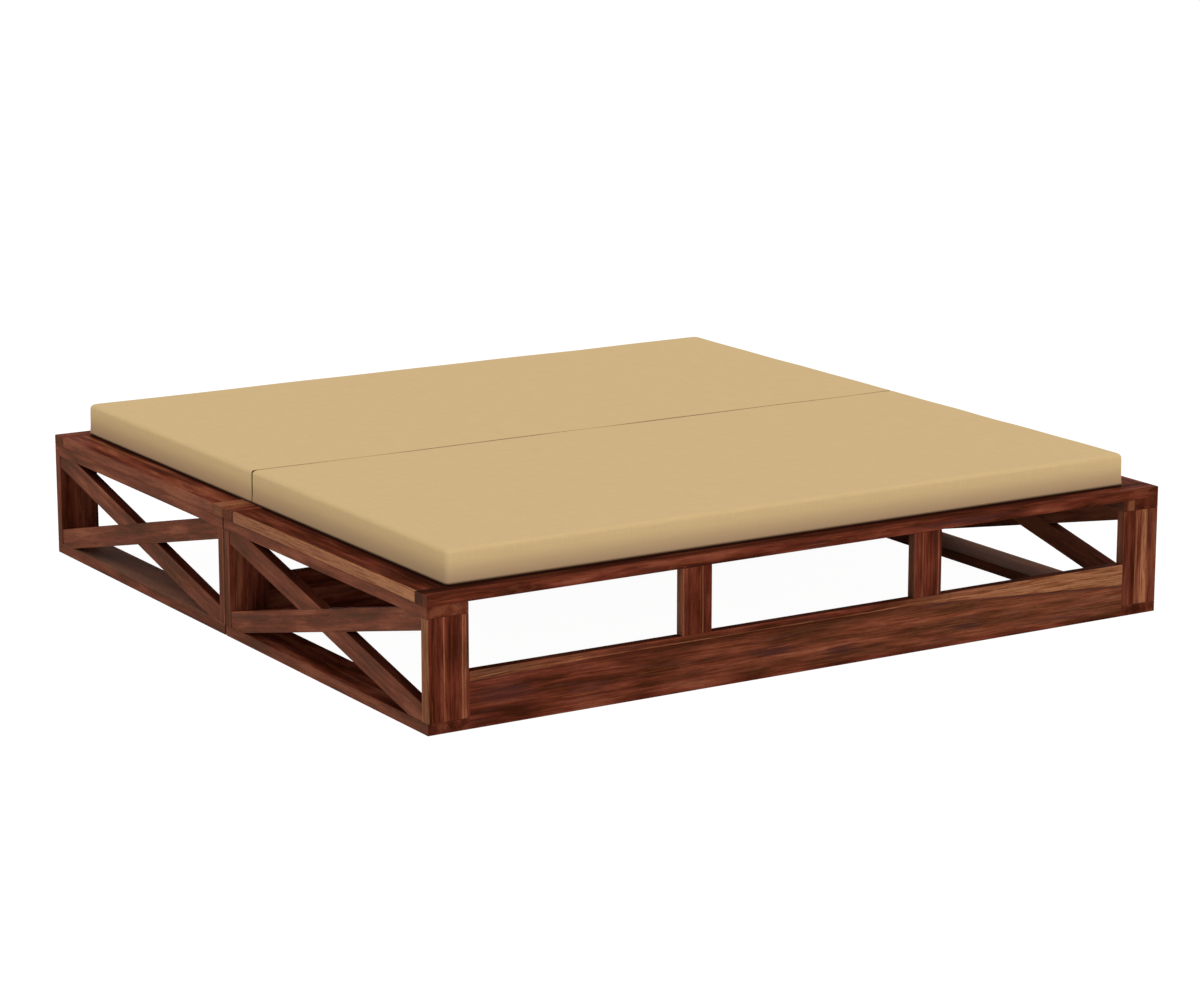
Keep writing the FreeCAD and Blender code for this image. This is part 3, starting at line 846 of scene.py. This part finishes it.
def swollen(points, faces, look):
    """The slab's points after the foam has pushed the cloth out, and no further than the cap."""
    cloth = new_mesh_object("cloth_trial", points, faces)
    modifier = cloth.modifiers.new("Cloth", "CLOTH")
    settings = modifier.settings
    for name, value in CLOTH_SETTINGS.items():
        setattr(settings, name, value)
    settings.uniform_pressure_force = look.pressure
    settings.effector_weights.gravity = 0
    modifier.collision_settings.use_collision = False
    scene = bpy.context.scene
    modifier.point_cache.frame_start = 1
    modifier.point_cache.frame_end = look.frames
    for number in range(1, look.frames + 1):
        scene.frame_set(number)
    graph = bpy.context.evaluated_depsgraph_get()
    moved = read_points(cloth.evaluated_get(graph).data)
    scene.frame_set(1)
    bpy.data.objects.remove(cloth)
    shift = moved - points
    length = np.linalg.norm(shift, axis=1, keepdims=True)
    return points + shift * np.minimum(1, look.cap / np.maximum(length, 1e-9))


def dented(points, half, seed):
    """The points with slow dents in the top: a sum of a few long sine waves, strongest on the top."""
    draw = np.random.default_rng(seed)
    height = np.zeros(len(points))
    for _ in range(DENT_WAVES):
        direction = draw.uniform(0, math.tau)
        wave = draw.uniform(*DENT_LENGTHS)
        along = points[:, 0] * math.cos(direction) + points[:, 1] * math.sin(direction)
        height += np.sin(math.tau * along / wave + draw.uniform(0, math.tau))
    upper = np.clip(points[:, 2] / half[2], 0, 1) ** 2
    made = points.copy()
    made[:, 2] += DENT_HEIGHT * height * upper
    return made


def shaped(half, hover, look):
    """A mattress's points and faces, and where its points were on the plain slab.

    The foam swells the cloth, and the sides stand out by a cosine of the height. At +y it presses on the
    other mattress, so that side is flat. Its base comes down by the hover onto the deck.
    """
    slab, faces = slab_mesh(half - look.inset, look)
    full = slab * half / (half - look.inset)
    swell = swollen(slab, faces, look)
    # The foam holds the outline that lies on the deck.
    free = smooth(np.clip((full[:, 2:] + half[2]) / look.settled_height, 0, 1))
    points = full + (swell - full) * free
    bulge = np.cos(math.pi / 2 * np.clip(full[:, 2:] / half[2], -1, 1)) * look.belly
    points[:, :2] += bulge * np.clip(full[:, :2] / (half[:2] - look.edge_radius), -1, 1)
    points[:, 1] += MIDDLE_GAP * np.clip(full[:, 1] / half[1], 0, 1)
    points[:, 1] = np.minimum(points[:, 1], half[1] + MIDDLE_GAP - look.seam_gap / 2)
    points[:, 2:] -= hover * (1 - free)
    return points, faces, full


def shade_heights(shape, full, half, look):
    """Each point's height over the mattress's base, which the cloth's painted shade and painted shadow
    follow.

    The lips of the gap where the mattresses meet are given a low height, so that they get the dark painted
    shadow too.
    """
    heights = shape[:, 2] + half[2]
    depth = half[1] - full[:, 1]
    lips = depth > LIP_START
    top = full[:, 2] > half[2] - look.edge_radius
    ends = np.abs(full[:, 0]) > half[0] - look.edge_radius
    heights[lips & top & (depth < TOP_LIP)] = TOP_LIP_LEVEL * look.contact_shadow_height
    heights[lips & ends & (depth < END_LIP)] = 0
    return heights


def cloth_map(mesh, points):
    """Lays the cloth's threads: flat panels above and below, and a strip that runs round the sides."""
    corners = np.zeros(len(mesh.loops), np.int32)
    mesh.loops.foreach_get("vertex_index", corners)
    normals = np.zeros(3 * len(mesh.polygons), np.float32)
    mesh.polygons.foreach_get("normal", normals)
    normals = normals.reshape(-1, 3)
    facing = np.repeat(np.argmax(np.abs(normals), axis=1), 4)
    spots = points[corners]
    u = np.where(facing == 0, spots[:, 1], spots[:, 0])
    v = np.where(facing == 2, spots[:, 1], spots[:, 2])
    layer = mesh.uv_layers.new(name="cloth")
    layer.data.foreach_set("uv", np.stack([u, v], 1).astype(np.float32).ravel())


class DIVAN_OT_mattresses(Operator):
    """Makes the two cloth-covered foam mattresses"""

    bl_idname = "divan.mattresses"
    bl_label = "Mattresses"

    def execute(self, context):
        look = context.scene.divan_cloth
        low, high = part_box("front_bed_mattress_cover")
        half = np.array((high - low) / 2)
        hover = low.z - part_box("front_bed_deck_front_rail")[1].z - REST_GAP
        points, faces, full = shaped(half, hover, look)
        material = woven_cotton(look)
        for side, module in zip((-1, 1), MODULES):
            low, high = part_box(f"{module}_mattress_cover")
            shape = dented(points * (-side, -side, 1), half, DENT_SEEDS[module])
            outer = np.clip(shape[:, 1] / half[1] * side, 0, 1)
            shape[:, 1] += outer * OUTER_GROWTH[module] * side
            shape[:, 0] *= 1 + look.end_growth / half[0]
            shape[:, 0] += look.off_centre
            shape[:, 2] += look.crown * smooth(np.clip(shape[:, 2] / half[2], 0, 1))
            centre = np.array((low + high) / 2)
            mattress = new_mesh_object(f"{module}_mattress", shape + centre, faces)
            cloth_map(mattress.data, shape)
            heights = shade_heights(shape, full, half, look).astype(np.float32)
            mattress.data.attributes.new("height", "FLOAT", "POINT").data.foreach_set("value", heights)
            mattress.data.polygons.foreach_set("use_smooth", np.ones(len(faces), bool))
            mattress.data.materials.append(material)
            finer = mattress.modifiers.new("Finer", "SUBSURF")
            finer.levels = 1
            finer.render_levels = 1
            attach(mattress, module.replace("_bed", "_mattress"))
            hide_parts(f"{module}_mattress_cover", f"{module}_mattress_core")
        return {"FINISHED"}


def seen_by_eye(tree):
    """1 for what the camera sees, directly, mirrored or through glass, and 0 for what gives light."""
    path = add(tree, "ShaderNodeLightPath").outputs
    seen = {0: path["Is Camera Ray"], 1: path["Is Glossy Ray"]}
    seen = add(tree, "ShaderNodeMath", seen, operation="MAXIMUM").outputs[0]
    seen = {0: seen, 1: path["Is Transmission Ray"]}
    return add(tree, "ShaderNodeMath", seen, operation="MAXIMUM").outputs[0]


def look_at(thing, target):
    """Turns a lamp, which shines down its own z axis, towards a point."""
    thing.rotation_euler = (Vector(target) - thing.location).to_track_quat("-Z", "Y").to_euler()


class DIVAN_OT_stage(Operator):
    """Sets up the camera, the soft light and the pale floor"""

    bl_idname = "divan.stage"
    bl_label = "Stage"

    def execute(self, context):
        look = context.scene.divan_stage
        scene = context.scene
        scene.view_settings.view_transform = "Standard"
        eye = bpy.data.objects.new("camera", bpy.data.cameras.new("camera"))
        eye.data.sensor_width = look.film
        eye.data.lens = look.lens
        eye.location = look.eye
        eye.rotation_euler = (math.pi / 2 - look.pitch, 0, -look.heading)
        # The camera sees past the floor's far edge.
        eye.data.clip_end = 2.5 * look.floor_size
        scene.collection.objects.link(eye)
        scene.camera = eye

        lamp = bpy.data.objects.new("key_lamp", bpy.data.lights.new("key_lamp", "SUN"))
        lamp.data.energy = look.key
        lamp.data.angle = look.key_width
        lamp.location = look.key_place
        look_at(lamp, (0, 0, 0))
        scene.collection.objects.link(lamp)

        corners = look.floor_size / 2 * np.array([(-1, -1, 0), (1, -1, 0), (1, 1, 0), (-1, 1, 0)])
        floor = new_mesh_object("floor", corners, np.array([[0, 1, 2, 3]]))
        floor.data.materials.append(pale_floor(look))

        world = bpy.data.worlds.new("studio")
        world.use_nodes = True
        scene.world = world
        tree = world.node_tree
        ground = tree.nodes["Background"]
        ground.inputs["Color"].default_value = (1, 1, 1, 1)
        inputs = {"Value": seen_by_eye(tree), "To Min": look.sky, "To Max": 1.0}
        power = add(tree, "ShaderNodeMapRange", inputs).outputs["Result"]
        tree.links.new(power, ground.inputs["Strength"])
        return {"FINISHED"}


def pale_floor(look):
    """Smooth painted floor, near white: matt, with faint clouds 2 m wide.

    To the eye it is mixed with plain white, which lights nothing.
    """
    material, tree, shader = new_material("pale_painted_floor")
    spot = add(tree, "ShaderNodeTexCoord").outputs["Object"]
    cloud = 2.0
    noise = {"Vector": spot, "Scale": 1 / cloud, "Detail": 1.0}
    noise = add(tree, "ShaderNodeTexNoise", noise).outputs["Fac"]
    stops = [(0.3, look.floor), (0.7, tuple(min(1, 1.01 * c) for c in look.floor))]
    colour = add(tree, "ShaderNodeValToRGB", {"Fac": noise}, stops=stops).outputs["Color"]
    surface(tree, shader, colour, noise, (0.94, 0.86), noise, bump=(0.1, 0.5 * MM), spread=(0, 1))
    shader.inputs["Specular IOR Level"].default_value = 0.1
    white = add(tree, "ShaderNodeEmission", {"Color": (1, 1, 1), "Strength": look.white}).outputs[0]
    share = {0: seen_by_eye(tree), 1: look.glow}
    share = add(tree, "ShaderNodeMath", share, operation="MULTIPLY").outputs[0]
    both = add(tree, "ShaderNodeMixShader", {0: share, 1: shader.outputs[0], 2: white}).outputs[0]
    tree.links.new(both, tree.nodes["Material Output"].inputs["Surface"])
    return material


OPERATORS = (DIVAN_OT_boards, DIVAN_OT_slats, DIVAN_OT_fixings, DIVAN_OT_mattresses, DIVAN_OT_stage)


class DIVAN_PT_panel(Panel):
    """Lists the pieces of the divan bed"""

    bl_idname = "DIVAN_PT_panel"
    bl_label = "Divan Bed"
    bl_space_type = "VIEW_3D"
    bl_region_type = "UI"
    bl_category = "Divan Bed"

    def draw(self, context):
        for kind in OPERATORS:
            self.layout.operator(kind.bl_idname)


PROPERTIES = {"divan_sheesham": SheeshamLook, "divan_cloth": ClothLook, "divan_stage": StageLook}


def register():
    """Adds the classes, and the scene's settings of each kind."""
    for kind in (*PROPERTIES.values(), *OPERATORS, DIVAN_PT_panel):
        bpy.utils.register_class(kind)
    for name, kind in PROPERTIES.items():
        setattr(bpy.types.Scene, name, PointerProperty(type=kind))


def unregister():
    """Takes them away again."""
    for name in PROPERTIES:
        delattr(bpy.types.Scene, name)
    for kind in (DIVAN_PT_panel, *reversed(OPERATORS), *reversed(PROPERTIES.values())):
        bpy.utils.unregister_class(kind)


def main():
    """Makes the looks of every piece."""
    register()
    bpy.ops.divan.stage()
    bpy.ops.divan.boards()
    bpy.ops.divan.slats()
    bpy.ops.divan.fixings()
    bpy.ops.divan.mattresses()


if __name__ == "__main__":
    main()
